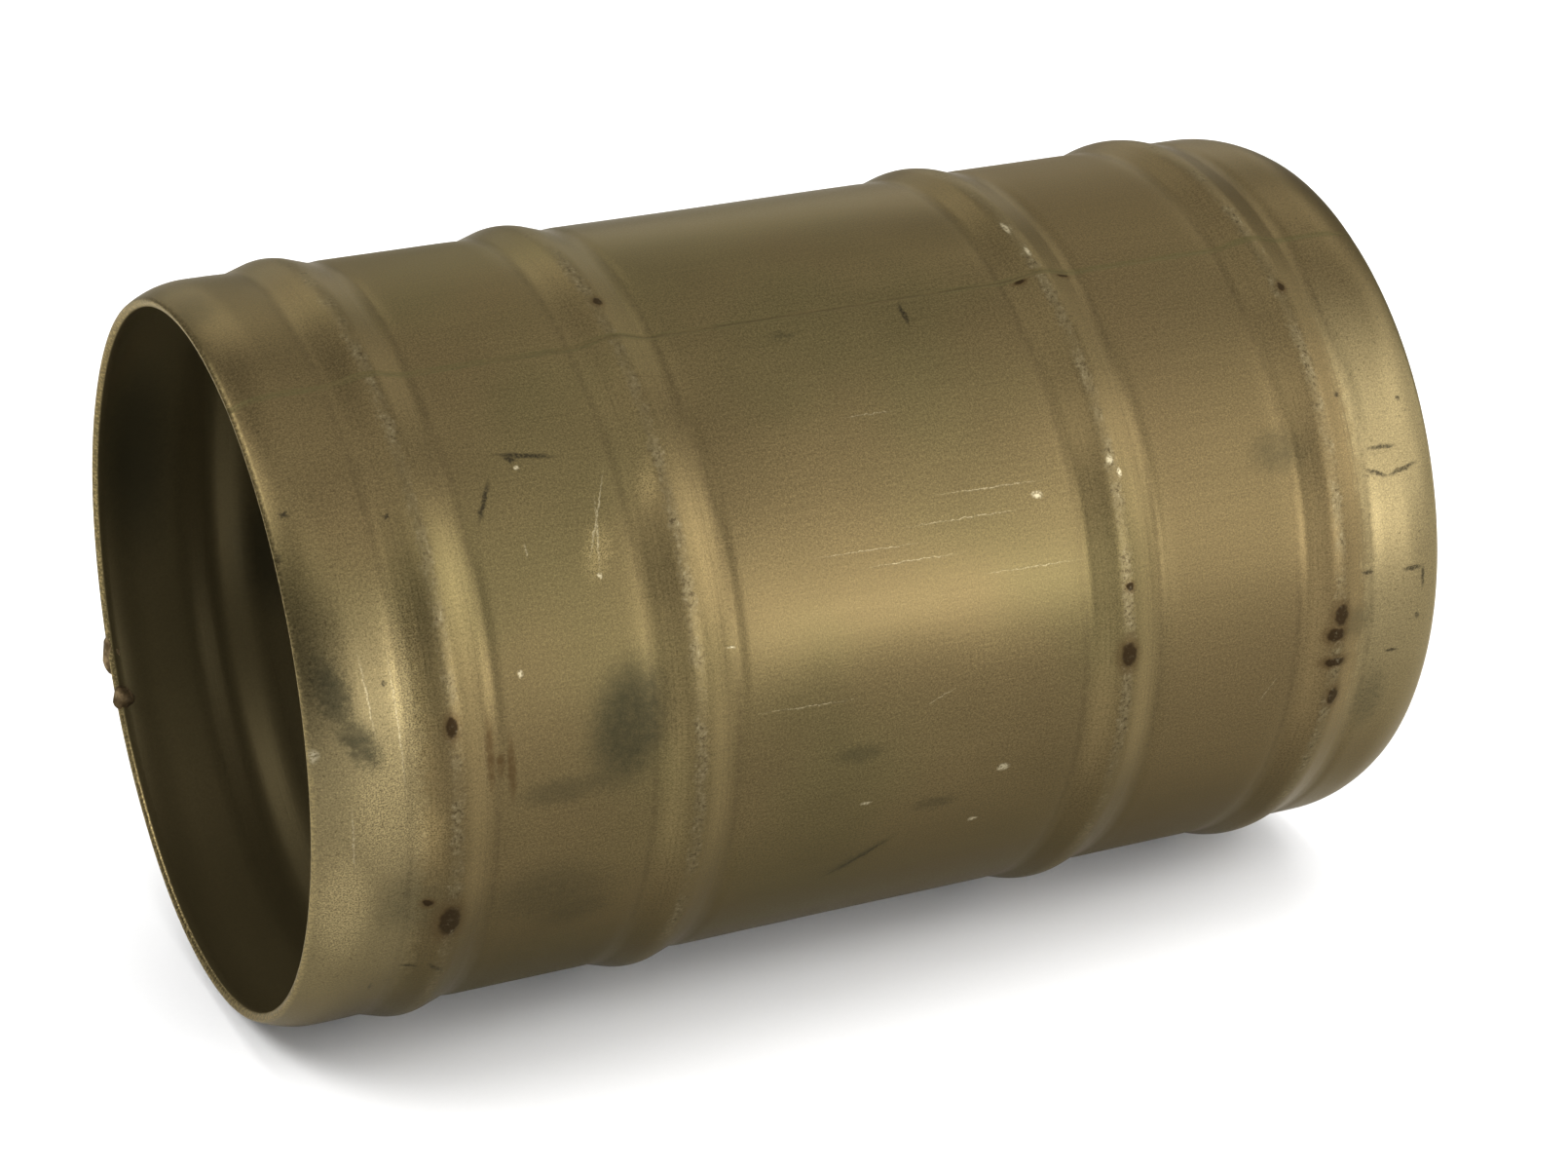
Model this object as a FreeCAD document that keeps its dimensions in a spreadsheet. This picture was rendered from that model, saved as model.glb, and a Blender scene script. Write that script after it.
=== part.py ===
# Beaded steel tube joiner: a short rolled tube with four beads and two necked ends.
#
# The tube lies on its side along X, resting on the crests of its beads, and Z is up.
# The origin is on the floor, below the middle of the tube.
# Angles round the tube are measured from the top, towards -Y.

import FreeCAD, Part
import math
import os

import Sketcher
from FreeCAD import Vector

DRIVING_SIZES = [
    # alias, value, what it is (lengths in mm, angles in degrees)
    ("outer_diameter", 152.0, "plain outside diameter of the tube"),
    ("wall_thickness", 2.0, "thickness of the rolled sheet"),
    ("tube_length", 248.0, "rim to rim"),
    ("outer_bead_inset", 27.0, "rim to the crest of the bead beside it"),
    ("bead_pitch", 50.0, "crest to crest of the two beads at one end"),
    ("bead_height", 1.85, "crest above the plain wall"),
    ("bead_half_width", 8.0, "crest to the plain wall beside it"),
    ("bead_crest_radius", 9.0, "outside radius of a bead's crest"),
    ("bead_foot_radius", 5.0, "outside radius where a bead's flank runs into the wall"),
    ("neck_length", 10.0, "stretch at each end that curves inwards"),
    ("neck_drop", 3.0, "how far the neck brings the rim in"),
    ("rim_land", 0.5, "flat ring at the very end, worn on the sheet's outer edge"),
    ("rim_setback", 0.9, "how far the end face's inner edge lies behind the land"),
    ("seam_angle", 27.5, "where the seam lies round the tube"),
    ("seam_width", 1.6, "butt gap that the seam weld fills"),
    ("outer_lump_angle", -111.0, "where the outer lump of weld lies round the rim"),
    ("outer_lump_length", 8.4, "round the rim"),
    ("outer_lump_proud", 1.2, "above the outside of the neck"),
    ("inner_lump_angle", -118.5, "where the inner lump of weld lies round the rim"),
    ("inner_lump_length", 5.4, "round the rim"),
    ("inner_lump_proud", 1.3, "above the inside of the neck"),
    ("lump_width", 4.0, "along the tube, the same for both lumps"),
    ("lump_depth", 1.4, "half the thickness of a lump, which sinks it into the wall"),
    ("cut_overrun", 5.0, "how far a cutting shape runs past what it cuts"),
]

DERIVED_SIZES = [
    # alias, formula
    ("outer_radius", "=outer_diameter / 2"),
    ("inner_radius", "=outer_radius - wall_thickness"),
    ("crest_radius", "=outer_radius + bead_height"),
    ("half_length", "=tube_length / 2"),
    ("outer_bead_x", "=half_length - outer_bead_inset"),
    ("inner_bead_x", "=outer_bead_x - bead_pitch"),
    ("bead_centre_radius", "=crest_radius - bead_crest_radius"),
    ("neck_start_x", "=half_length - neck_length"),
    ("neck_bend_radius", "=(neck_length ^ 2 + neck_drop ^ 2) / (2 * neck_drop)"),
    ("neck_centre_radius", "=outer_radius - neck_bend_radius"),
    ("rim_radius", "=outer_radius - neck_drop"),
    ("land_inner_radius", "=rim_radius - rim_land"),
    ("lump_x", "=lump_width / 2 - half_length"),
    ("lump_run", "=neck_length - lump_width / 2"),
    ("neck_outside_at_lump", "=neck_centre_radius + sqrt(neck_bend_radius ^ 2 - lump_run ^ 2)"),
    ("neck_inside_at_lump",
     "=neck_centre_radius + sqrt((neck_bend_radius - wall_thickness) ^ 2 - lump_run ^ 2)"),
    ("outer_lump_radius", "=neck_outside_at_lump + outer_lump_proud - lump_depth"),
    ("inner_lump_radius", "=neck_inside_at_lump - inner_lump_proud + lump_depth"),
]

ORIGIN_POINT = (-1, 1)
LEFT_END, RIGHT_END, CENTRE = "left", "right", "centre"


def make_size_sheet(doc):
    """The spreadsheet that every size in the document is bound to."""
    sheet = doc.addObject("Spreadsheet::Sheet", "Sizes")
    rows = [(alias, str(value), note) for alias, value, note in DRIVING_SIZES]
    rows += [(alias, formula, "derived") for alias, formula in DERIVED_SIZES]
    for number, (alias, content, note) in enumerate(rows, start=1):
        sheet.set(f"A{number}", alias)
        sheet.set(f"B{number}", content)
        sheet.set(f"C{number}", note)
        sheet.setAlias(f"B{number}", alias)
    doc.recompute()
    return sheet


def origin_plane(body, role):
    """One of a body's own origin planes."""
    return next(feature for feature in body.Origin.OriginFeatures if feature.Role == role)


class HalfProfile:
    """A closed outline from the middle of the tube to its +X end, to be turned round X.

    The outside face and the inside face have the same course: plain wall, bead, plain wall,
    bead, plain wall, neck. A bead is a foot, a straight flank, a crest, a flank and a foot.
    The inside lies one wall thickness further in, round the same centres, so its crests are
    tighter by that much and its feet are wider.
    """

    def __init__(self, body, name, sheet, skin):
        self.sheet = sheet
        self.skin = skin
        self.depth = "0" if skin == "outside" else "Sizes.wall_thickness"
        self.inset = 0.0 if skin == "outside" else sheet.wall_thickness
        self.sketch = body.newObject("Sketcher::SketchObject", name)
        self.sketch.AttachmentSupport = [(origin_plane(body, "XZ_Plane"), "")]
        self.sketch.MapMode = "FlatFace"
        course = self.draw_wall()
        self.dimension_wall(course)
        if skin == "outside":
            self.close_outside(course)
        else:
            self.close_inside(course)

    def line(self, start, end):
        index = self.sketch.addGeometry(Part.LineSegment(Vector(*start), Vector(*end)), False)
        return {LEFT_END: (index, 1), RIGHT_END: (index, 2), "index": index}

    def arc(self, centre, radius, towards, spread):
        """An arc round the direction `towards` (1 up, -1 down), from spread[0] left to spread[1] right."""
        left, right = spread
        circle = Part.Circle(Vector(*centre), Vector(0, 0, 1), radius)
        middle = towards * math.pi / 2
        if towards > 0:
            index = self.sketch.addGeometry(Part.ArcOfCircle(circle, middle - right, middle + left), False)
            ends = (2, 1)
        else:
            index = self.sketch.addGeometry(Part.ArcOfCircle(circle, middle - left, middle + right), False)
            ends = (1, 2)
        return {LEFT_END: (index, ends[0]), RIGHT_END: (index, ends[1]), CENTRE: (index, 3), "index": index}

    def constrain(self, *terms):
        return self.sketch.addConstraint(Sketcher.Constraint(*terms))

    def dimension(self, name, expression, *terms):
        """Add a dimension with a name and bind it to the spreadsheet."""
        index = self.constrain(*terms)
        self.sketch.renameConstraint(index, name)
        self.sketch.setExpression(f"Constraints.{name}", expression)

    def join(self, before, after, kind="Coincident"):
        self.constrain(kind, *before[RIGHT_END], *after[LEFT_END])

    def draw_bead(self, bead_x, wall_start_x):
        """The plain wall before a bead, then the bead, and where the bead ends."""
        sheet = self.sheet
        crest_bend = sheet.bead_crest_radius - self.inset
        foot_bend = sheet.bead_foot_radius + self.inset
        wall_radius = sheet.outer_radius - self.inset
        foot_centre_radius = wall_radius + foot_bend

        # The flank's slope, from the two bends' centres: they are half_width apart along the
        # tube and centre_rise apart across it, and the flank is tangent to both.
        half_width = sheet.bead_half_width
        centre_rise = foot_centre_radius - sheet.bead_centre_radius
        centre_gap = math.hypot(half_width, centre_rise)
        slope = math.atan2(half_width, centre_rise) - math.acos((crest_bend + foot_bend) / centre_gap)

        foot_out = foot_bend * math.sin(slope)
        foot_up = foot_bend * (1 - math.cos(slope))
        crest_out = crest_bend * math.sin(slope)
        crest_up = sheet.bead_centre_radius + crest_bend * math.cos(slope)
        left_foot_x = bead_x - half_width
        right_foot_x = bead_x + half_width
        bead = [
            self.line((wall_start_x, wall_radius), (left_foot_x, wall_radius)),
            self.arc((left_foot_x, foot_centre_radius), foot_bend, -1, (0, slope)),
            self.line((left_foot_x + foot_out, wall_radius + foot_up), (bead_x - crest_out, crest_up)),
            self.arc((bead_x, sheet.bead_centre_radius), crest_bend, 1, (slope, slope)),
            self.line((bead_x + crest_out, crest_up), (right_foot_x - foot_out, wall_radius + foot_up)),
            self.arc((right_foot_x, foot_centre_radius), foot_bend, -1, (slope, 0)),
        ]
        return bead, right_foot_x

    def draw_wall(self):
        """Rough out the whole course and join each stretch to the next, tangent to it."""
        sheet = self.sheet
        wall_radius = sheet.outer_radius - self.inset
        neck_bend = sheet.neck_bend_radius - self.inset
        first_bead, first_bead_end = self.draw_bead(sheet.inner_bead_x, 0.0)
        second_bead, second_bead_end = self.draw_bead(sheet.outer_bead_x, first_bead_end)
        last_wall = self.line((second_bead_end, wall_radius), (sheet.neck_start_x, wall_radius))
        neck_reach = sheet.neck_length - (0.0 if self.skin == "outside" else sheet.rim_setback)
        neck_turn = math.asin(neck_reach / neck_bend)
        neck_centre = (sheet.neck_start_x, sheet.neck_centre_radius)
        neck = self.arc(neck_centre, neck_bend, 1, (0, neck_turn))
        course = first_bead + second_bead + [last_wall, neck]
        for before, after in zip(course, course[1:]):
            self.join(before, after, "Tangent")
        return course

    def dimension_wall(self, course):
        sheet = self.sheet
        wall_1, foot_1, _, crest_1, _, foot_2 = course[:6]
        wall_2, foot_3, _, crest_2, _, foot_4 = course[6:12]
        wall_3, neck = course[12:]
        for wall in (wall_1, wall_2, wall_3):
            self.constrain("Horizontal", wall["index"])
        self.dimension("wall_radius", f"Sizes.outer_radius - {self.depth}",
                       "DistanceY", *ORIGIN_POINT, *wall_1[LEFT_END], sheet.outer_radius - self.inset)
        for wall in (wall_2, wall_3):
            self.constrain("Horizontal", *wall_1[LEFT_END], *wall[RIGHT_END])

        self.dimension("crest_bend", f"Sizes.bead_crest_radius - {self.depth}",
                       "Radius", crest_1["index"], sheet.bead_crest_radius - self.inset)
        self.dimension("foot_bend", f"Sizes.bead_foot_radius + {self.depth}",
                       "Radius", foot_1["index"], sheet.bead_foot_radius + self.inset)
        self.dimension("bead_centre_radius", "Sizes.bead_centre_radius",
                       "DistanceY", *ORIGIN_POINT, *crest_1[CENTRE], sheet.bead_centre_radius)
        self.dimension("inner_bead_x", "Sizes.inner_bead_x",
                       "DistanceX", *ORIGIN_POINT, *crest_1[CENTRE], sheet.inner_bead_x)
        self.dimension("outer_bead_x", "Sizes.outer_bead_x",
                       "DistanceX", *ORIGIN_POINT, *crest_2[CENTRE], sheet.outer_bead_x)
        self.constrain("Equal", crest_1["index"], crest_2["index"])
        self.constrain("Horizontal", *crest_1[CENTRE], *crest_2[CENTRE])
        for foot in (foot_2, foot_3, foot_4):
            self.constrain("Equal", foot_1["index"], foot["index"])
        half_beads = [(foot_1, crest_1), (crest_1, foot_2), (foot_3, crest_2), (crest_2, foot_4)]
        for number, (left, right) in enumerate(half_beads, start=1):
            self.dimension(f"half_width_{number}", "Sizes.bead_half_width",
                           "DistanceX", *left[CENTRE], *right[CENTRE], sheet.bead_half_width)

        self.dimension("neck_bend", f"Sizes.neck_bend_radius - {self.depth}",
                       "Radius", neck["index"], sheet.neck_bend_radius - self.inset)
        self.dimension("neck_start_x", "Sizes.neck_start_x",
                       "DistanceX", *ORIGIN_POINT, *neck[CENTRE], sheet.neck_start_x)

    def close_to_axis(self, last, end_x, first):
        """Run from the last point down to the axis, back along it and up to the first point."""
        sheet = self.sheet
        down = self.line((end_x, sheet.rim_radius), (end_x, 0.0))
        back = self.line((end_x, 0.0), (0.0, 0.0))
        up = self.line((0.0, 0.0), (0.0, sheet.outer_radius))
        self.join(last, down)
        self.join(down, back)
        self.join(back, up)
        self.join(up, first)
        self.constrain("Vertical", down["index"])
        self.constrain("Horizontal", back["index"])
        self.constrain("Vertical", up["index"])
        self.constrain("Coincident", *up[LEFT_END], *ORIGIN_POINT)

    def close_outside(self, course):
        """The rim's plane closes the outside."""
        neck = course[-1]
        self.dimension("half_length", "Sizes.half_length",
                       "DistanceX", *ORIGIN_POINT, *neck[RIGHT_END], self.sheet.half_length)
        self.close_to_axis(neck, self.sheet.half_length, course[0])

    def close_inside(self, course):
        """The end face leans back from the land to the inside of the neck."""
        sheet = self.sheet
        neck = course[-1]
        face_start = (sheet.half_length - sheet.rim_setback, sheet.land_inner_radius - 1.0)
        face_end = (sheet.half_length, sheet.land_inner_radius)
        overrun_end = (sheet.half_length + sheet.cut_overrun, sheet.land_inner_radius)
        face = self.line(face_start, face_end)
        overrun = self.line(face_end, overrun_end)
        self.join(neck, face)
        self.join(face, overrun)
        self.constrain("Horizontal", overrun["index"])
        self.dimension("face_start_x", "Sizes.half_length - Sizes.rim_setback",
                       "DistanceX", *ORIGIN_POINT, *face[LEFT_END], face_start[0])
        self.dimension("half_length", "Sizes.half_length",
                       "DistanceX", *ORIGIN_POINT, *face[RIGHT_END], sheet.half_length)
        self.dimension("land_inner_radius", "Sizes.land_inner_radius",
                       "DistanceY", *ORIGIN_POINT, *face[RIGHT_END], sheet.land_inner_radius)
        self.dimension("overrun", "Sizes.cut_overrun",
                       "DistanceX", *overrun[LEFT_END], *overrun[RIGHT_END], sheet.cut_overrun)
        self.close_to_axis(overrun, overrun_end[0], course[0])


def make_rolled_tube(doc, sheet):
    """The whole tube before it is divided into rolled sheet and seam weld."""
    body = doc.addObject("PartDesign::Body", "rolled_tube")
    outside = HalfProfile(body, "outside_profile", sheet, "outside").sketch
    half_bar = body.newObject("PartDesign::Revolution", "half_bar")
    half_bar.Profile = outside
    half_bar.ReferenceAxis = (outside, ["H_Axis"])
    half_bar.Angle = 360

    inside = HalfProfile(body, "inside_profile", sheet, "inside").sketch
    half_bore = body.newObject("PartDesign::Groove", "half_bore")
    half_bore.Profile = inside
    half_bore.ReferenceAxis = (inside, ["H_Axis"])
    half_bore.Angle = 360

    both_ends = body.newObject("PartDesign::Mirrored", "both_ends")
    both_ends.Originals = [half_bar, half_bore]
    both_ends.MirrorPlane = (origin_plane(body, "YZ_Plane"), [""])
    body.Tip = both_ends
    body.setExpression("Placement.Base.z", "Sizes.crest_radius")
    return body


def place_round_tube(item, along, radius, sideways, angle):
    """Turn an item to an angle round the tube and set its own origin at a radius there."""
    quarter_turn = 90
    item.Placement.Rotation = FreeCAD.Rotation(Vector(1, 0, 0), quarter_turn)
    item.setExpression("Placement.Rotation.Angle", angle)
    item.setExpression("Placement.Base.x", along)
    item.setExpression("Placement.Base.y", f"({sideways}) * cos({angle}) - ({radius}) * sin({angle})")
    item.setExpression(
        "Placement.Base.z",
        f"Sizes.crest_radius + ({sideways}) * sin({angle}) + ({radius}) * cos({angle})",
    )


def make_seam_gap(doc):
    """The block that the butt gap takes out of the tube, from end to end and right through the wall."""
    gap = doc.addObject("Part::Box", "seam_gap")
    gap.setExpression("Length", "Sizes.tube_length + 2 * Sizes.cut_overrun")
    gap.setExpression("Width", "Sizes.seam_width")
    gap.setExpression("Height", "Sizes.crest_radius - Sizes.rim_radius + Sizes.wall_thickness"
                                " + 2 * Sizes.cut_overrun")
    place_round_tube(
        gap,
        along="-Sizes.half_length - Sizes.cut_overrun",
        radius="Sizes.rim_radius - Sizes.wall_thickness - Sizes.cut_overrun",
        sideways="-Sizes.seam_width / 2",
        angle="Sizes.seam_angle * 1 deg",
    )
    return gap


def make_tube_wall(doc, rolled_tube, seam_gap):
    """The rolled sheet: the tube with its butt gap open."""
    wall = doc.addObject("Part::Cut", "tube_wall")
    wall.Base = rolled_tube
    wall.Tool = seam_gap
    return wall


def make_seam_weld(doc, rolled_tube, seam_gap):
    """The weld that fills the gap, dressed flush with the sheet, beads and necks included."""
    weld = doc.addObject("Part::Common", "seam_weld")
    weld.Base = rolled_tube
    weld.Tool = seam_gap
    return weld


def make_weld_lump(doc, rolled_tube, side):
    """A lump of weld on the -X rim, lying face to face with the tube it stuck to."""
    drop = doc.addObject("Part::Ellipsoid", f"{side}_drop")
    drop.setExpression("Radius1", "Sizes.lump_depth")
    drop.setExpression("Radius2", "Sizes.lump_width / 2")
    drop.setExpression("Radius3", f"Sizes.{side}_lump_length / 2")
    place_round_tube(
        drop,
        along="Sizes.lump_x",
        radius=f"Sizes.{side}_lump_radius",
        sideways="0",
        angle=f"Sizes.{side}_lump_angle * 1 deg",
    )
    lump = doc.addObject("Part::Cut", f"weld_lump_{side}")
    lump.Base = drop
    lump.Tool = rolled_tube
    return lump


def check_document(doc, sub_parts):
    """Stop if anything in the document failed or a sub-part isn't one sound solid."""
    for item in doc.Objects:
        if "Invalid" in item.State or "Error" in item.State:
            raise RuntimeError(f"{item.Name} failed: {item.State}")
    for sketch in doc.findObjects("Sketcher::SketchObject"):
        free = sketch.solve()
        if free != 0 or not sketch.FullyConstrained:
            raise RuntimeError(f"{sketch.Name} is not fully constrained")
    for item in sub_parts:
        if item.Shape.isNull() or not item.Shape.isValid() or len(item.Shape.Solids) != 1:
            raise RuntimeError(f"{item.Label} is not one valid solid")


def main():
    doc = FreeCAD.newDocument("beaded_tube_joiner")
    sheet = make_size_sheet(doc)
    rolled_tube = make_rolled_tube(doc, sheet)
    seam_gap = make_seam_gap(doc)
    sub_parts = [
        make_tube_wall(doc, rolled_tube, seam_gap),
        make_seam_weld(doc, rolled_tube, seam_gap),
        make_weld_lump(doc, rolled_tube, "outer"),
        make_weld_lump(doc, rolled_tube, "inner"),
    ]
    doc.recompute()
    check_document(doc, sub_parts)
    os.makedirs("parts", exist_ok=True)
    for item in sub_parts:
        item.Shape.exportStep(f"parts/{item.Label}.step")
        print(f"{item.Label}: {item.Shape.Volume:.1f} mm3")


main()
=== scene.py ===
"""A beaded steel tube joiner lying on a white floor: visual model, materials, lights and camera.

The tube lies along X on the crests of its beads. Lengths along it and round it are in millimetres.
Angles round it are in degrees from the top towards -Y, the side that the camera sees.
"""

import math
from types import SimpleNamespace

import bpy
import numpy as np
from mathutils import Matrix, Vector


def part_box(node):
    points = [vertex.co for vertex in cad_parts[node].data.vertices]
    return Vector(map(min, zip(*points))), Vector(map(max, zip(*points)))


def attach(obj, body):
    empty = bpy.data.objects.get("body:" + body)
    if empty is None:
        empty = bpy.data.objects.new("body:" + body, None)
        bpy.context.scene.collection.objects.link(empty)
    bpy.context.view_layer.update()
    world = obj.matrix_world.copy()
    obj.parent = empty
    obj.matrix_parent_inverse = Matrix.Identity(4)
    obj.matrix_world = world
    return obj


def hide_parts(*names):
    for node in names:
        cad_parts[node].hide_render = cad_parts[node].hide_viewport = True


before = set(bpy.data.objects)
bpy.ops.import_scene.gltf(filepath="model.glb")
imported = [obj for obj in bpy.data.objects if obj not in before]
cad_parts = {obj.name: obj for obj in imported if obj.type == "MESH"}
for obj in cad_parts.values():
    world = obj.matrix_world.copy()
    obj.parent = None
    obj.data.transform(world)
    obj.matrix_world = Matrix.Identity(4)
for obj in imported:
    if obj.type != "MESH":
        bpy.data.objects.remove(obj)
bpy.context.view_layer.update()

MM = 0.001

# ---------------------------------------------------------------- sizes, from the frame
WALL_LOW, WALL_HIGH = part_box("tube_wall")
HALF_LENGTH = (WALL_HIGH.x - WALL_LOW.x) / 2 / MM
CREST_RADIUS = (WALL_HIGH.z - WALL_LOW.z) / 2 / MM
AXIS_HEIGHT = (WALL_HIGH.z + WALL_LOW.z) / 2 / MM

# ---------------------------------------------------------------- sizes of the rolled sheet
BEAD_HEIGHT = 1.85
PLAIN_RADIUS = CREST_RADIUS - BEAD_HEIGHT
WALL_THICKNESS = 2.0
OUTER_BEAD_PLACE = HALF_LENGTH - 27.0
INNER_BEAD_PLACE = OUTER_BEAD_PLACE - 50.0
BEAD_PLACES = (-OUTER_BEAD_PLACE, -INNER_BEAD_PLACE, INNER_BEAD_PLACE, OUTER_BEAD_PLACE)
BEAD_HALF_WIDTH = 8.0
CREST_BEND = 9.0
FOOT_BEND = 5.0
NECK_LENGTH = 10.0
NECK_DROP = 3.0
NECK_BEND = (NECK_DROP**2 + NECK_LENGTH**2) / (2 * NECK_DROP)
SEAM_ANGLE = 27.5
SEAM_WIDTH = 1.6
SEAM_HALF_ANGLE = math.degrees(SEAM_WIDTH / 2 / PLAIN_RADIUS)

# The rims are rounded, and face this way: along the tube, and out from its axis.
RIM_ROUNDING = 0.45
RIM_FACING = (0.84, -0.54)
RIM_STEPS = 5

# The near rim isn't cut square: it reaches out by this, times an even part and the turn's cosine.
OUT_OF_SQUARE = 0.5
OUT_OF_SQUARE_EVEN = 0.8
OUT_OF_SQUARE_ANGLE = 130.0

# The roller's edge left a shallow groove beside each bead, on its far side and on its near side:
# (place from the crest, depth, half width).
FAR_FOOT_GROOVES = {
    -OUTER_BEAD_PLACE: (9.2, 0.20, 1.4),
    -INNER_BEAD_PLACE: (9.4, 0.24, 1.6),
    INNER_BEAD_PLACE: (9.2, 0.22, 1.4),
    OUTER_BEAD_PLACE: (9.2, 0.18, 1.4),
}
NEAR_FOOT_GROOVE = (-9.0, 0.08, 1.2)

# Slow waves that rolling left in the sheet: (height, waves round, radians along per mm, phase).
SHEET_WAVES = (
    (0.060, 2, 0.0, 0.9),
    (0.030, 5, 1 / 31, 1.3),
    (0.025, 9, -1 / 17, 0.4),
    (0.030, 2, 1 / 11, 0.0),
)
PLANISHED_DEPTH = 0.05
PLANISHED_HALF_WIDTH = 4.5

# The mesh's rings, as (first, last, step): from each bead's crest, in from each rim, and over the rest.
# The rest's rings keep the gap from the others.
BEAD_RINGS = (-9.9, 12.2, 0.45)
NECK_RINGS = (0.0, 11.5, 0.9)
PLAIN_RINGS = (-110.0, 110.1, 5.0)
PLAIN_RING_GAP = 1.5

# The mesh's rows round the sheet, in degrees from the seam: a few close ones, then evenly spaced ones.
ROWS_BESIDE_SEAM = (0, 0.3, 0.7, 1.2, 1.9, 2.8)
EVEN_ROWS_START = 4.0
EVEN_ROWS = 236
SEAM_ROWS = 7

# Edges that turn by more degrees than this are shaded sharp.
SHARP_ANGLE = 50.0

# The depth that marks the mesh's inner skin. The outer skin's is 0, and the rims' go from 1 to 2.
INNER_DEPTH = 3.0

# The melted lumps spread a little wider than their plain CAD shapes and hang over the rim.
LUMP_SWELL = 1.18
LUMP_OVERHANG = 0.4
LUMP_FULLNESS = 0.94
LUMP_ROWS = 14
LUMP_COLUMNS = 24


# ---------------------------------------------------------------- the sheet's shape
def bead_rise(offset):
    """Height of a bead over the plain tube, by distance along the tube from its crest."""
    centre_gap = CREST_BEND + FOOT_BEND - BEAD_HEIGHT
    across = math.hypot(BEAD_HALF_WIDTH, centre_gap)
    lean = math.atan2(BEAD_HALF_WIDTH, centre_gap) - math.acos((CREST_BEND + FOOT_BEND) / across)
    distance = np.abs(offset)
    crest_end = CREST_BEND * math.sin(lean)
    foot_start = BEAD_HALF_WIDTH - FOOT_BEND * math.sin(lean)
    crest_arc = BEAD_HEIGHT - CREST_BEND + np.sqrt(np.maximum(CREST_BEND**2 - distance**2, 0))
    foot_top = FOOT_BEND * (1 - math.cos(lean))
    flank = foot_top + (foot_start - distance) * math.tan(lean)
    into_foot = np.clip(BEAD_HALF_WIDTH - distance, 0, FOOT_BEND)
    foot_arc = FOOT_BEND - np.sqrt(FOOT_BEND**2 - into_foot**2)
    return np.where(distance < crest_end, crest_arc, np.where(distance < foot_start, flank, foot_arc))


def neck_fall(x):
    """How far the rim's neck has bent in from the plain tube."""
    into_neck = np.clip(np.abs(x) - (HALF_LENGTH - NECK_LENGTH), 0, NECK_LENGTH)
    return NECK_BEND - np.sqrt(NECK_BEND**2 - into_neck**2)


def groove(offset, place, depth, half_width):
    """A soft groove, as a depth."""
    return depth * np.exp(-(((offset - place) / half_width) ** 2))


def formed_radius(x):
    """Radius of the outer skin before any hand-made unevenness."""
    radius = PLAIN_RADIUS - neck_fall(x)
    for place in BEAD_PLACES:
        radius = radius + bead_rise(x - place)
    return radius


def groove_depth(x):
    """Depth of the rollers' grooves beside the beads."""
    depth = np.zeros_like(x)
    for place, far_groove in FAR_FOOT_GROOVES.items():
        depth += groove(x - place, *far_groove) + groove(x - place, *NEAR_FOOT_GROOVE)
    return depth


def unevenness(x, angle):
    """Waves of about a tenth of a millimetre, and the stretch hammered flat along the seam."""
    turn = np.radians(angle)
    lift = 0.0
    for height, waves_round, rate_along, phase in SHEET_WAVES:
        lift = lift + height * np.sin(waves_round * turn + x * rate_along + phase)
    seam_distance = np.radians((angle - SEAM_ANGLE + 180) % 360 - 180) * PLAIN_RADIUS
    return lift - groove(seam_distance, 0.0, PLANISHED_DEPTH, PLANISHED_HALF_WIDTH)


def rim_shift(x, angle):
    """The near rim isn't cut quite square to the tube."""
    into_neck = np.clip((-x - (HALF_LENGTH - NECK_LENGTH)) / NECK_LENGTH, 0, 1)
    reach = OUT_OF_SQUARE_EVEN + np.cos(np.radians(angle - OUT_OF_SQUARE_ANGLE))
    return -OUT_OF_SQUARE * into_neck * reach


def skin_points(x, angles, outer):
    """The grid of one skin, angle by angle: lengths along the tube and radii."""
    step = 0.01
    slope = (formed_radius(x + step) - formed_radius(x - step)) / (2 * step)
    length = np.sqrt(1 + slope**2)
    normal_x, normal_r = -slope / length, 1 / length
    across, turn = np.meshgrid(x, angles)
    lift = unevenness(across, turn) - groove_depth(x)
    if not outer:
        lift = lift - WALL_THICKNESS
    along = across + lift * normal_x
    radius = formed_radius(x) + lift * normal_r
    return rim_shift(across, turn) + along, radius


def to_frame(along, radius, angles):
    """Places in the frame, in metres, from the length along, the radius and the angle round."""
    turn = np.radians(angles)[:, None]
    height = AXIS_HEIGHT + radius * np.cos(turn)
    return np.stack([along, -radius * np.sin(turn), height], axis=-1) * MM


def rim_points(start, end, side):
    """The rounded end face of the sheet, from one skin's end to the other's."""
    share = (np.arange(1, RIM_STEPS + 1) / (RIM_STEPS + 1))[None, :]
    along = start[0][:, None] * (1 - share) + end[0][:, None] * share
    radius = start[1][:, None] * (1 - share) + end[1][:, None] * share
    bulge = RIM_ROUNDING * np.sqrt(1 - (2 * share - 1) ** 2)
    return along + side * bulge * RIM_FACING[0], radius + bulge * RIM_FACING[1]


def ring_places():
    """Places of the mesh's rings along the tube: an odd number, so every second one keeps both ends."""
    beads = [place + offset for place in BEAD_PLACES for offset in np.arange(*BEAD_RINGS)]
    skin_end = HALF_LENGTH - RIM_ROUNDING
    necks = [side * (skin_end - step) for side in (-1, 1) for step in np.arange(*NECK_RINGS)]
    plain = [x for x in np.arange(*PLAIN_RINGS) if np.min(np.abs(np.array(beads) - x)) > PLAIN_RING_GAP]
    places = np.array(sorted(beads + necks + plain))
    return places if len(places) % 2 else np.delete(places, len(places) // 2)


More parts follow.
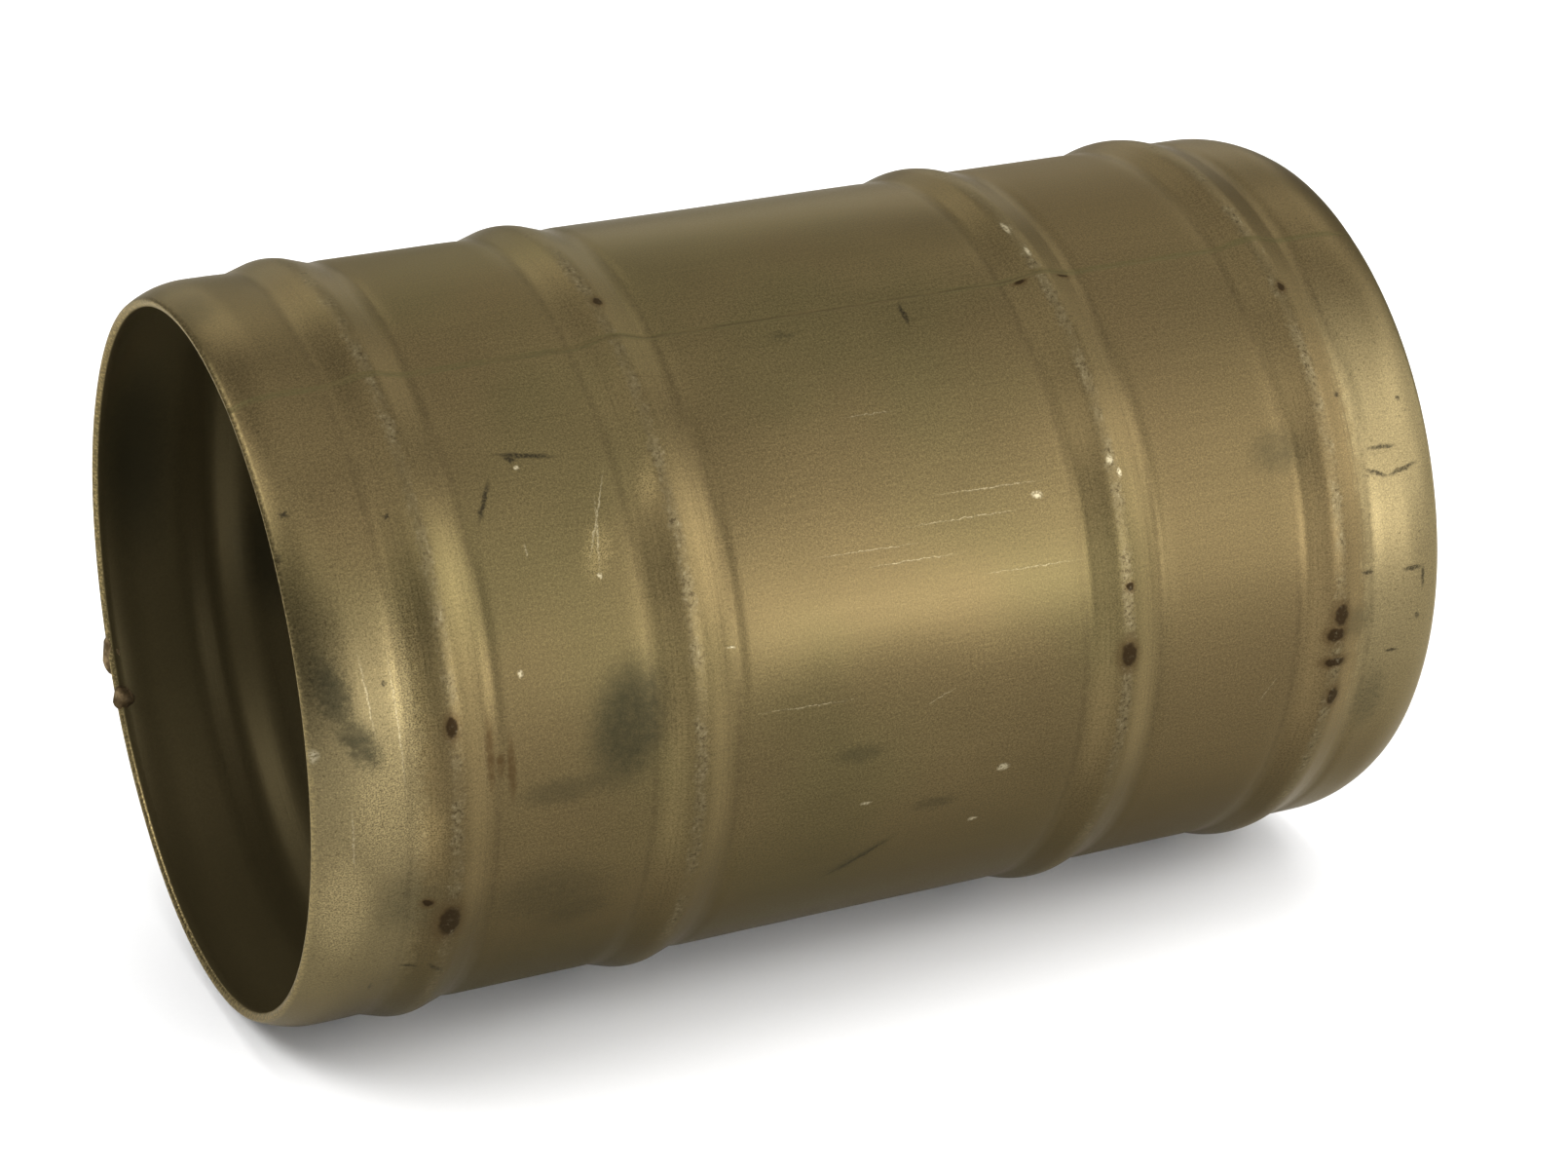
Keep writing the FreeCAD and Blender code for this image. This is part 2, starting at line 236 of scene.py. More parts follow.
def side_faces(rows, loop):
    """The strip's faces between one row of the loop and the next."""
    faces = []
    for row in range(rows - 1):
        for column in range(loop):
            after = (column + 1) % loop
            faces.append((row * loop + column, (row + 1) * loop + column,
                          (row + 1) * loop + after, row * loop + after))
    return faces


def cap_faces(first, forward, outer_count, inner_count, loop):
    """The faces that close one long edge of the strip, between the outer skin and the inner."""
    inner_start = outer_count + RIM_STEPS
    near_start = inner_start + inner_count
    caps = [tuple(range(outer_count - 1, inner_start + 1)),
            tuple(range(near_start - 1, loop)) + (0,)]
    for step in range(inner_count - 1):
        inner_at = near_start - 1 - step
        caps.append((2 * step, 2 * step + 1, 2 * step + 2, inner_at - 1, inner_at))
    return [tuple(first + corner for corner in (cap if forward else cap[::-1])) for cap in caps]


def add_piece(name, vertices, faces):
    """A smooth-shaded mesh object in the scene."""
    mesh = bpy.data.meshes.new(name)
    mesh.from_pydata(vertices.tolist(), [], faces)
    mesh.shade_smooth()
    piece = bpy.data.objects.new(name, mesh)
    bpy.context.scene.collection.objects.link(piece)
    return piece


def make_sheet_piece(name, angles):
    """A closed strip of the rolled sheet between the first and the last of the angles.

    The attribute "sheet" keeps each point's place: along the tube, round it, and its depth mark.
    """
    outer_x = ring_places()
    inner_x = outer_x[::2]
    outer = skin_points(outer_x, angles, True)
    inner = skin_points(inner_x, angles, False)
    far_rim = rim_points([v[:, -1] for v in outer], [v[:, -1] for v in inner], 1)
    near_rim = rim_points([v[:, 0] for v in inner], [v[:, 0] for v in outer], -1)
    along = np.concatenate([outer[0], far_rim[0], inner[0][:, ::-1], near_rim[0]], axis=1)
    radius = np.concatenate([outer[1], far_rim[1], inner[1][:, ::-1], near_rim[1]], axis=1)
    loop = along.shape[1]
    last_row = (len(angles) - 1) * loop

    faces = side_faces(len(angles), loop)
    faces += cap_faces(0, True, len(outer_x), len(inner_x), loop)
    faces += cap_faces(last_row, False, len(outer_x), len(inner_x), loop)
    piece = add_piece(name, to_frame(along, radius, angles).reshape(-1, 3), faces)
    piece.data.set_sharp_from_angle(angle=math.radians(SHARP_ANGLE))

    sheet = np.zeros((len(angles), loop, 3), np.float32)
    sheet[..., 0] = np.concatenate([outer_x, np.full(RIM_STEPS, HALF_LENGTH),
                                    inner_x[::-1], np.full(RIM_STEPS, -HALF_LENGTH)])
    sheet[..., 1] = (np.radians(angles) * PLAIN_RADIUS)[:, None]
    sheet[..., 2] = np.concatenate([np.zeros(len(outer_x)), np.linspace(1, 2, RIM_STEPS),
                                    np.full(len(inner_x), INNER_DEPTH), np.linspace(2, 1, RIM_STEPS)])
    attribute = piece.data.attributes.new("sheet", "FLOAT_VECTOR", "POINT")
    attribute.data.foreach_set("vector", sheet.ravel())
    return piece


def make_rolled_wall():
    """The sheet, rolled from one edge of the seam right round to the other."""
    start, end = SEAM_ANGLE + SEAM_HALF_ANGLE, SEAM_ANGLE + 360 - SEAM_HALF_ANGLE
    beside_seam = np.array(ROWS_BESIDE_SEAM)
    even = np.linspace(start + EVEN_ROWS_START, end - EVEN_ROWS_START, EVEN_ROWS)
    angles = np.concatenate([start + beside_seam, even, end - beside_seam[::-1]])
    return make_sheet_piece("rolled_wall", angles)


def make_seam_strip():
    """The flattened weld that fills the gap between the sheet's edges."""
    angles = SEAM_ANGLE + SEAM_HALF_ANGLE * np.linspace(-1, 1, SEAM_ROWS)
    return make_sheet_piece("seam_strip", angles)


def ball_points(rows, columns):
    """Points of a ball of radius 1: the top pole, ring after ring, and the bottom pole."""
    points = [(0, 0, 1)]
    for row in range(1, rows):
        polar = math.pi * row / rows
        ring = math.sin(polar)
        for column in range(columns):
            turn = 2 * math.pi * column / columns
            points.append((ring * math.cos(turn), ring * math.sin(turn), math.cos(polar)))
    return np.array(points + [(0, 0, -1)])


def ball_faces(rows, columns):
    """Faces of the ball that ball_points gives."""
    bottom = 1 + (rows - 1) * columns
    last = bottom - columns
    faces = [(0, 1 + c, 1 + (c + 1) % columns) for c in range(columns)]
    for row in range(rows - 2):
        first = 1 + row * columns
        for c in range(columns):
            after = (c + 1) % columns
            faces.append((first + c, first + columns + c, first + columns + after, first + after))
    return faces + [(bottom, last + (c + 1) % columns, last + c) for c in range(columns)]


def make_lump(name, node):
    """A small uneven blob of melted weld, about the size of its CAD node."""
    low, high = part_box(node)
    centre, half = (low + high) / 2, (high - low) / 2 * LUMP_SWELL
    centre.x -= LUMP_OVERHANG * MM
    ball = ball_points(LUMP_ROWS, LUMP_COLUMNS)
    x, y, z = ball.T
    reach = LUMP_FULLNESS + 0.10 * np.sin(3 * x + 4 * z) + 0.07 * np.sin(7 * y - 5 * z + 1)
    points = ball * reach[:, None] * np.array(half) + np.array(centre)
    return add_piece(name, points, ball_faces(LUMP_ROWS, LUMP_COLUMNS))


# ---------------------------------------------------------------- node helpers
# A mark's gradient reaches out to this many times its size, and is shallow so that it keeps to one skin.
MARK_REACH = 2.5
MARK_DEPTH = 0.35


class Shading:
    """One material's node tree, built with short calls that give back sockets."""

    def __init__(self, name):
        self.material = bpy.data.materials.new(name)
        self.material.use_nodes = True
        self.tree = self.material.node_tree
        self.shader = self.tree.nodes["Principled BSDF"]

    def node(self, kind, inputs, **settings):
        """Adds a node. An input is a socket to link from, or a value to set."""
        made = self.tree.nodes.new("ShaderNode" + kind)
        for key, value in settings.items():
            setattr(made, key, value)
        for key, value in inputs.items():
            if isinstance(value, bpy.types.NodeSocket):
                self.tree.links.new(value, made.inputs[key])
            else:
                made.inputs[key].default_value = value
        return made

    def fill_shader(self, **inputs):
        """Gives the shader its inputs, named with _ for a space, and returns the material."""
        for name, value in inputs.items():
            socket = self.shader.inputs[name.replace("_", " ")]
            if isinstance(value, bpy.types.NodeSocket):
                self.tree.links.new(value, socket)
            else:
                socket.default_value = value
        return self.material

    def math(self, operation, first, second=0.0, third=0.0):
        return self.node("Math", {0: first, 1: second, 2: third}, operation=operation).outputs[0]

    def vector_math(self, operation, *values):
        return self.node("VectorMath", dict(enumerate(values)), operation=operation).outputs[0]

    def product(self, first, *others):
        for other in others:
            first = self.math("MULTIPLY", first, other)
        return first

    def fade(self, value, start, end, low=0.0, high=1.0):
        """Goes smoothly from low to high as the value goes from start to end."""
        return self.node("MapRange", {"Value": value, "From Min": start, "From Max": end,
                                      "To Min": low, "To Max": high},
                         interpolation_type="SMOOTHSTEP").outputs[0]

    def band(self, value, middle, edge, core=0.0):
        """1 where the value is within core of the middle, and 0 from edge on."""
        return self.fade(self.math("ABSOLUTE", self.math("SUBTRACT", value, middle)), edge, core)

    def spread(self, value, low, high):
        """Stretches noise, which keeps near 0.5, over the range from low to high."""
        return self.node("MapRange", {"Value": value, "From Min": 0.25, "From Max": 0.75,
                                      "To Min": low, "To Max": high}, clamp=False).outputs[0]

    def tint(self, share, under, over):
        """Lays one colour over another where share is 1."""
        return self.node("Mix", {0: share, 6: under, 7: over}, data_type="RGBA").outputs[2]

    def brighten(self, colour, amount):
        """Multiplies a colour by an amount that differs over the surface."""
        return self.node("VectorMath", {0: colour, 3: amount}, operation="SCALE").outputs[0]

    def boost(self, colour, share, amount):
        """Brightens a colour by the amount, or darkens it by a negative one, where share is 1."""
        return self.brighten(colour, self.math("MULTIPLY_ADD", share, amount, 1.0))

    def stretch(self, place, scale):
        return self.node("Mapping", {"Vector": place, "Scale": scale}).outputs[0]

    def noise(self, place, scale, detail=2.0, roughness=0.5, output="Fac"):
        return self.node("TexNoise", {"Vector": place, "Scale": scale, "Detail": detail,
                                      "Roughness": roughness}).outputs[output]

    def sheet_place(self):
        """Place on the sheet: along the tube and round it, in millimetres, and the depth mark."""
        return self.node("Attribute", {}, attribute_name="sheet").outputs["Vector"]

    def room_place(self):
        """Place in the frame, in metres."""
        return self.node("TexCoord", {}).outputs["Object"]

    def parts(self, place):
        return self.node("SeparateXYZ", {0: place}).outputs

    def mark_distance(self, place, marks):
        """Distance from the nearest mark's middle, as a share of the mark's own size, up to MARK_REACH.

        Each mark is one ball-shaped gradient, stretched to the mark's size and leaned with it.
        """
        nearest = 0.0
        for middle, half_size, lean in marks:
            ball = self.node("TexGradient", {"Vector": place}, gradient_type="SPHERICAL")
            ball.texture_mapping.vector_type = "TEXTURE"
            ball.texture_mapping.translation = (*middle, 0.0)
            ball.texture_mapping.rotation = (0.0, 0.0, lean)
            ball.texture_mapping.scale = [size * MARK_REACH for size in (*half_size, MARK_DEPTH)]
            nearest = self.math("MAXIMUM", ball.outputs["Fac"], nearest)
        return self.math("MULTIPLY_ADD", nearest, -MARK_REACH, MARK_REACH)

    def marks(self, place, marks, edge, core):
        """1 on the marks, as far as core times their size, and 0 from edge times their size on."""
        return self.fade(self.mark_distance(place, marks), edge, core)

    def bump(self, height, distance):
        return self.node("Bump", {"Height": height, "Strength": 1.0, "Distance": distance}).outputs[0]


def round_place(angle):
    """Length round the sheet, in millimetres, at an angle. The sheet starts at the seam."""
    return math.radians(angle if angle > SEAM_ANGLE else angle + 360) * PLAIN_RADIUS


def spots(*sizes):
    """Oval marks from (along, angle, half length along, half length round, lean in degrees)."""
    return [((x, round_place(angle)), (half_x, half_round), math.radians(lean))
            for x, angle, half_x, half_round, lean in sizes]


def lines(half_width, *ends):
    """Thin pointed marks from (along, angle, along, angle) of their two ends."""
    made = []
    for x_1, angle_1, x_2, angle_2 in ends:
        across, around = x_2 - x_1, round_place(angle_2) - round_place(angle_1)
        middle = ((x_1 + x_2) / 2, (round_place(angle_1) + round_place(angle_2)) / 2)
        made.append((middle, (math.hypot(across, around) / 2, half_width), math.atan2(around, across)))
    return made


# ---------------------------------------------------------------- marks on the sheet
# Patches of painted shade on the inner skin, in from the mouth.
INSIDE_SHADE_PATCHES = spots((-114, 284, 9, 26, 0), (-84, 262, 8, 14, 0), (-40, 290, 30, 34, 0))
DARK_STAINS = spots((-61, 85.6, 9.0, 14, 12), (-118.6, 73, 3.4, 8.5, -12), (-114.5, 81, 3.2, 7, -30))
FAINT_STAINS = spots(
    (-76, 113, 14, 9.0, 8), (-70, 118, 9, 6, 0), (-75, 94, 10, 3.2, 0), (86, 63, 7, 5, 0),
    (109, 108, 4, 9, 0), (-12, 98, 6, 2.4, 0), (7, 111, 5.5, 2.2, 0), (102, 92, 4.5, 4, 0),
    (-104, 109, 9, 9, 0), (-12, 31.3, 3.2, 1.0, 0), (-120, 2, 4, 9, 0), (-7.5, 121, 9, 1.6, -37),
)
PALE_PATCHES = spots(
    (-50.4, 52, 2.4, 6, 10), (-104, 96, 6, 8, 0), (-104, 74, 4.5, 26, 0),
    (-118, 108, 6.5, 18, 0), (-110, 92, 9, 16, 0), (-63, 60, 3.5, 7, 20),
)
RUST_SPOTS = spots(
    (47.1, 89.6, 1.8, 2.6, 0), (97.4, 90, 1.6, 2.3, 0), (96.4, 93.2, 2.0, 1.6, 0),
    (96.9, 98, 2.4, 1.0, 0), (97.9, 104.5, 1.3, 2.1, 0), (-97.3, 113, 2.2, 4.0, 0),
    (-97.3, 80.6, 1.1, 2.0, 0), (-46, 20, 0.9, 1.2, 0), (98, 37.5, 0.8, 1.0, 0), (47.5, 79, 0.8, 0.8, 0),
    (42.5, 28.4, 1.1, 0.6, 0), (52.5, 28.2, 1.3, 0.6, 0), (-102.0, 109, 1.0, 0.9, 0),
)
DARK_SPOTS = spots(
    (-120.4, 46.9, 1.0, 0.35, 40), (-120.4, 46.9, 1.0, 0.35, -45), (-102.3, 50, 0.9, 0.3, 30),
    (-102.3, 50, 0.9, 0.3, -50), (-123.0, 53, 0.5, 1.0, 0), (-108.9, 73, 0.6, 0.6, 0),
    (-75.4, 44.4, 1.5, 0.5, 20), (-75.4, 44.4, 0.5, 1.2, 0), (117.5, 93.4, 0.8, 0.8, 0),
    (102.5, 56, 0.7, 0.7, 0), (116.9, 58, 0.7, 0.6, 0), (104.4, 84.4, 1.8, 0.4, 5),
    (112, 98.8, 1.8, 0.4, 0), (-109.8, 129, 0.4, 1.6, 0),
)
DARK_LINES = lines(
    0.6,
    (-80.6, 46.9, -85, 53.4), (-78.5, 43.4, -66, 45.2), (106, 68.2, 111, 69.8),
    (110.5, 69.8, 119, 68.4), (107, 65, 114, 65.2), (113, 85, 118.5, 85.2), (118.4, 85, 118.6, 89),
    (-105.4, 123.8, -101.4, 124), (-99.8, 123, -96, 126), (-14, 125, -1, 117.5), (15, 28.2, 15.1, 33),
)
BROWN_DASHES = lines(0.95, (-89.7, 80, -89.5, 92), (-85.4, 84, -85.3, 94), (-87.6, 86, -87.5, 90))
PALE_CHIPS = spots(
    (30.4, 63.1, 1.5, 0.8, 15), (46.9, 60, 0.9, 1.1, 0), (21.5, 106.3, 1.7, 1.1, 0),
    (17.5, 116.9, 1.3, 0.7, 0), (-63.5, 63.5, 0.5, 0.7, 0), (-122.7, 81.9, 1.2, 1.7, 0),
    (-82.2, 75.2, 0.7, 0.9, 0), (-74.7, 45.9, 0.8, 0.6, 0), (48.5, 62, 0.6, 1.1, 0),
    (-39.1, 77.1, 1.3, 0.3, 10), (46.4, 17, 0.7, 2.6, 0), (47.4, 23, 0.7, 1.6, 0), (-9, 108, 1.6, 0.4, 0),
)
PALE_SCRATCHES = lines(
    0.22,
    (-113.1, 67.5, -111.6, 81), (-107.5, 69, -106.5, 90), (-117, 90, -116.6, 101),
    (-57.9, 48.5, -65.4, 61.9), (-61, 51.9, -63.5, 63), (-77, 57, -77, 59.4),
)
FINE_SCRATCHES = lines(
    0.11,
    (0, 64.4, 28, 64.8), (-10, 69.2, 12, 69.6), (15, 73.3, 39, 73.8), (-7, 46.5, 5, 46.8),
    (80, 105, 85, 99), (-35, 88, -12, 88.6), (2, 92, 9, 90), (-20, 66.5, 4, 67), (8, 60.5, 33, 61),
)

# ---------------------------------------------------------------- colours, as seen in plain white light, save the painted highlights and shade noted below
BRONZE = (0.079, 0.0600, 0.0262, 1)
GREENER = (0.074, 0.0600, 0.0257, 1)
PINKER = (0.086, 0.0620, 0.0284, 1)
INSIDE = (0.072, 0.057, 0.026, 1)
STAIN_AND_SHADE_GREEN = (0.019, 0.0185, 0.0105, 1)
# The green stain colour serves the real stains and also the painted shade inside.
STAIN_BROWN = (0.040, 0.029, 0.014, 1)
RUST = (0.018, 0.011, 0.005, 1)
RUST_BROWN = (0.046, 0.028, 0.011, 1)
SOOT = (0.013, 0.011, 0.007, 1)
BARE_METAL = (0.30, 0.26, 0.165, 1)
WORN_CREST = (0.105, 0.084, 0.044, 1)
# The pale ends: worn metal, with a painted highlight.
END_WEAR_AND_HIGHLIGHT = (0.150, 0.120, 0.060, 1)
LUMP_BROWN = (0.085, 0.058, 0.029, 1)
LUMP_WORN = (0.24, 0.175, 0.095, 1)
# The rim edges: worn metal, with a painted glint.
GOLD_EDGE_AND_GLINT = (0.27, 0.21, 0.095, 1)

# The film of oil and dirt shines only weakly. At grazing angles the metal reflects less, and yellower.
FILM_SHINE = 0.12
EDGE_TINT = (0.85, 0.79, 0.66, 1)

# How deep the sheet's grain and the lumps' scale are, in metres.
GRAIN_BUMP = 0.03 * MM
SCALE_BUMP = 0.12 * MM

# ---------------------------------------------------------------- wear and painted highlights beside the beads, in millimetres
# Thin creases: (place from the crest, half width).
CREASES = ((-4.9, 0.32), (-3.9, 0.28), (5.1, 0.28), (6.4, 0.30))
# Painted highlights on the bead flanks, on the front: (place from the crest, half width, brightening).
PAINTED_FLANK_HIGHLIGHTS = ((4.6, 4.2, 0.45), (-4.9, 4.0, 0.38))
BETWEEN_BEADS = (INNER_BEAD_PLACE + OUTER_BEAD_PLACE) / 2


# ---------------------------------------------------------------- the steel sheet
def crest_offset(s, along, from_middle):
    """Signed distance along the tube from the nearest bead's crest, in millimetres."""
    pitch = OUTER_BEAD_PLACE - INNER_BEAD_PLACE
    outer_bead = s.math("GREATER_THAN", from_middle, INNER_BEAD_PLACE + pitch / 2)
    crest = s.math("MULTIPLY_ADD", outer_bead, pitch, INNER_BEAD_PLACE)
    return s.product(s.math("SUBTRACT", from_middle, crest), s.math("SIGN", along))


def sheet_places(s):
    """The places and noises that the sheet's layers share. The layers add their own masks to them."""
    sheet = SimpleNamespace()
    sheet.place = s.sheet_place()
    sheet.room = s.room_place()
    sheet.along, sheet.around, sheet.depth = s.parts(sheet.place)[0:3]
    sheet.outside = s.fade(sheet.depth, 0.9, 0.2)
    sheet.inside = s.fade(sheet.depth, 2.0, 2.9)
    sheet.from_middle = s.math("ABSOLUTE", sheet.along)
    sheet.offset = crest_offset(s, sheet.along, sheet.from_middle)
    sheet.crest_gap = s.math("ABSOLUTE", sheet.offset)

    sheet.grain = s.noise(sheet.place, 1.7, 2.0, 0.6)
    sheet.fine_grain = s.noise(sheet.place, 3.2, 1.0)
    sheet.drawn = s.noise(s.stretch(sheet.place, (0.035, 1.9, 1.0)), 1.0, 3.0, 0.6)
    sheet.clouds = s.noise(sheet.room, 26.0, 3.0, 0.55)
    sheet.ragged = s.noise(sheet.place, 0.55, 3.0, 0.65)
    sheet.speckle = s.noise(sheet.place, 1.0, 4.0, 0.75)

    wobble = s.vector_math("SUBTRACT", s.noise(sheet.place, 0.8, 3.0, output="Color"), (0.5, 0.5, 0.5))
    sheet.soft_place = s.vector_math("MULTIPLY_ADD", wobble, (4.5, 4.5, 0.0), sheet.place)
    sheet.crisp_place = s.vector_math("MULTIPLY_ADD", wobble, (1.1, 1.1, 0.0), sheet.place)
    return sheet


def base_steel(s, sheet):
    """Greener and pinker bronze in patches, pinker beyond the far bead, darker underneath."""
    tones = s.noise(sheet.room, 17.0, 2.0)
    colour = s.tint(s.fade(tones, 0.36, 0.64), GREENER, PINKER)
    colour = s.tint(0.45, colour, BRONZE)
    colour = s.brighten(colour, s.spread(sheet.clouds, 0.86, 1.14))
    colour = s.tint(s.fade(sheet.along, 44.0, 62.0, 0.0, 0.7), colour, PINKER)
    underside = s.product(s.fade(sheet.around, round_place(106), round_place(140)),
                          s.fade(sheet.around, round_place(235), round_place(200)))
    return s.boost(colour, underside, -0.36)


def ends_wear_and_highlight(s, sheet, colour):
    """Both ends are pale on the front, out from a ragged line: real wear, and a painted highlight,
    strongest on the far end. The grain goes over it all.
    """
    palest = s.fade(sheet.along, -1.0, 1.0, round_place(100), round_place(78))
    front = s.band(sheet.around, palest, 62.0, 26.0)
    reach = s.fade(s.math("ADD", sheet.from_middle, s.spread(sheet.ragged, -1.5, 1.5)), 101.5, 106.0)
    # Painted highlight: the pale tint is partly real wear and partly the light that the bent necks catch.
    wear_and_highlight = s.product(reach, front, sheet.outside, s.spread(sheet.clouds, 0.5, 0.9))
    colour = s.tint(wear_and_highlight, colour, END_WEAR_AND_HIGHLIGHT)
    colour = s.brighten(colour, s.spread(sheet.grain, 0.76, 1.24))
    colour = s.brighten(colour, s.spread(sheet.fine_grain, 0.72, 1.28))
    return s.brighten(colour, s.spread(sheet.drawn, 0.94, 1.06))


def bead_sides(s, sheet, colour):
    """Beside each crest: rolling lines, painted highlights on the flanks' fronts, thin creases, dirt at
    the foot.
    """
    rolled = s.noise(s.stretch(sheet.place, (2.2, 0.02, 1.0)), 1.0, 2.0)
    beside = s.fade(sheet.crest_gap, 10.5, 7.5)
    colour = s.boost(colour, s.product(beside, s.spread(rolled, -1.0, 1.0)), 0.04)
    front = s.band(sheet.around, round_place(82), 50.0, 24.0)
    # Painted highlights: each flank is brightened on the front.
    for place, half_width, amount in PAINTED_FLANK_HIGHLIGHTS:
        flank_highlight = s.product(s.band(sheet.offset, place, half_width), sheet.outside, front)
        colour = s.boost(colour, flank_highlight, amount)

    creases = 0.0
    for place, half_width in CREASES:
        creases = s.math("MAXIMUM", s.band(sheet.offset, place, half_width), creases)
    sheet.creases = s.product(creases, s.fade(sheet.ragged, 0.38, 0.62, 0.05, 0.25))
    colour = s.tint(s.product(sheet.creases, sheet.outside), colour, STAIN_BROWN)
    foot_dirt = s.product(s.band(sheet.crest_gap, 8.8, 1.3), s.fade(sheet.ragged, 0.35, 0.65, 0.05, 0.32))
    return s.tint(s.product(foot_dirt, sheet.outside), colour, STAIN_BROWN)


def crest_wear(s, sheet, colour):
    """Crests are scuffed and nicked here and there, and the ends have brown freckles."""
    wandering = s.math("ADD", sheet.crest_gap, s.spread(sheet.ragged, -0.7, 0.9))
    here_and_there = s.fade(s.noise(sheet.place, 0.16, 2.0), 0.40, 0.62, 0.25, 1.0)
    sheet.scuff = s.product(s.fade(wandering, 1.9, 0.5), sheet.outside, here_and_there)
    colour = s.tint(s.product(sheet.scuff, 0.65), colour, WORN_CREST)
    nicked = s.product(s.fade(wandering, 2.3, 0.6), sheet.outside, here_and_there)
    sheet.light_nicks = s.product(s.fade(sheet.speckle, 0.53, 0.62), nicked)
    sheet.dark_nicks = s.product(s.fade(sheet.speckle, 0.48, 0.40), nicked, 0.9)

    ends = s.product(s.fade(sheet.from_middle, 100.0, 107.0), sheet.outside)
    freckles = s.product(s.fade(sheet.speckle, 0.44, 0.36), ends)
    freckles = s.product(freckles, s.fade(sheet.ragged, 0.40, 0.60, 0.1, 0.6))
    return s.tint(freckles, colour, STAIN_BROWN)


def stains(s, sheet, colour):
    """Pale rubbed patches, stains, brown dashes, small dark marks and dirt in the nicks."""
    pale = s.marks(sheet.soft_place, PALE_PATCHES, 1.15, 0.2)
    colour = s.boost(colour, s.product(pale, s.fade(sheet.fine_grain, 0.3, 0.6)), 0.55)
    sheet.dark_stain = s.marks(sheet.soft_place, DARK_STAINS, 1.25, 0.35)
    colour = s.tint(s.product(sheet.dark_stain, s.spread(sheet.ragged, 0.50, 0.85)), colour, STAIN_AND_SHADE_GREEN)
    faint = s.marks(sheet.soft_place, FAINT_STAINS, 1.3, 0.3)
    colour = s.tint(s.product(faint, s.spread(sheet.ragged, 0.25, 0.45)), colour, STAIN_AND_SHADE_GREEN)
    browns = s.marks(sheet.crisp_place, BROWN_DASHES, 1.3, 0.4)
    colour = s.tint(s.product(browns, s.fade(sheet.ragged, 0.35, 0.6, 0.45, 0.85)), colour, RUST_BROWN)
    darks = s.marks(sheet.crisp_place, DARK_SPOTS + DARK_LINES, 1.25, 0.4)
    darks = s.product(darks, s.fade(sheet.grain, 0.36, 0.55, 0.35, 1.0), 0.85)
    colour = s.tint(darks, colour, SOOT)
    return s.tint(sheet.dark_nicks, colour, STAIN_BROWN)


def rust(s, sheet, colour):
    """Raised dark rust spots, each with a brown halo."""
    distance = s.mark_distance(sheet.crisp_place, RUST_SPOTS)
    sheet.rust = s.fade(distance, 1.2, 0.75)
    colour = s.tint(s.product(s.fade(distance, 2.3, 0.9), 0.6), colour, RUST_BROWN)
    return s.tint(s.product(sheet.rust, 0.92), colour, RUST)


def bare_marks(s, sheet, colour):
    """Scratches and chips down to brighter metal."""
    scratches = s.marks(sheet.crisp_place, PALE_SCRATCHES + FINE_SCRATCHES, 1.2, 0.3)
    scratches = s.product(scratches, s.fade(sheet.grain, 0.40, 0.60, 0.1, 0.45))
    chips = s.marks(sheet.crisp_place, PALE_CHIPS, 1.1, 0.3)
    chips = s.math("MAXIMUM", chips, s.product(sheet.light_nicks, 0.3))
    chips = s.product(chips, s.fade(sheet.grain, 0.38, 0.56, 0.15, 0.95))
    sheet.bare = s.math("MAXIMUM", scratches, chips)
    return s.tint(sheet.bare, colour, BARE_METAL)


def rims_and_inside(s, sheet, colour):
    """Golden rim edges, worn and with a painted glint, and a duller inside with patches of painted shade
    near the mouth.
    """
    rim_gap = s.math("SUBTRACT", HALF_LENGTH, sheet.from_middle)
    # Painted glint: the rim edges are tinted gold, partly bare worn metal and partly the light they
    # catch.
    rim_noise = s.fade(s.noise(sheet.place, 1.5, 2.0, 0.6), 0.46, 0.60)
    rim_wear_and_glint = s.product(s.fade(rim_gap, 1.5, 0.1), s.fade(sheet.depth, 2.9, 2.0))
    rim_wear_and_glint = s.product(rim_wear_and_glint, s.math("MULTIPLY_ADD", rim_noise, 0.75, 0.15))
    colour = s.tint(rim_wear_and_glint, colour, GOLD_EDGE_AND_GLINT)
    colour = s.tint(s.product(sheet.inside, 0.75), colour, INSIDE)
    inner_skin = s.vector_math("SUBTRACT", sheet.soft_place, (0.0, 0.0, INNER_DEPTH))
    # Painted shade: patches on the inner skin are darkened towards the stain green.
    inside_shade = s.product(s.marks(inner_skin, INSIDE_SHADE_PATCHES, 1.4, 0.2), s.spread(sheet.clouds, 0.45, 0.8))
    return s.tint(inside_shade, colour, STAIN_AND_SHADE_GREEN)


def sheet_roughness(s, sheet):
    """Satin, rougher on the scuffs, between the beads and on stains and rust."""
    rough = s.math("ADD", s.spread(sheet.clouds, 0.36, 0.42), s.spread(sheet.grain, -0.05, 0.05))
    rough = s.math("MULTIPLY_ADD", sheet.scuff, 0.06, rough)
    rough = s.math("MULTIPLY_ADD", s.band(sheet.from_middle, BETWEEN_BEADS, 17.5, 11.0), 0.10, rough)
    dirt = s.math("MAXIMUM", s.product(sheet.dark_stain, 0.5), sheet.rust)
    return s.math("MULTIPLY_ADD", dirt, 0.15, rough)


def sheet_height(s, sheet):
    """Grain and drawing lines, with creases and bare marks cut in and rust standing up."""
    height = s.math("MULTIPLY_ADD", sheet.grain, 0.5, s.product(sheet.fine_grain, 0.25))
    height = s.math("MULTIPLY_ADD", sheet.drawn, 0.2, height)
    height = s.math("MULTIPLY_ADD", sheet.creases, -0.8, height)
    height = s.math("MULTIPLY_ADD", sheet.rust, 1.4, height)
    return s.math("MULTIPLY_ADD", sheet.bare, -1.0, height)


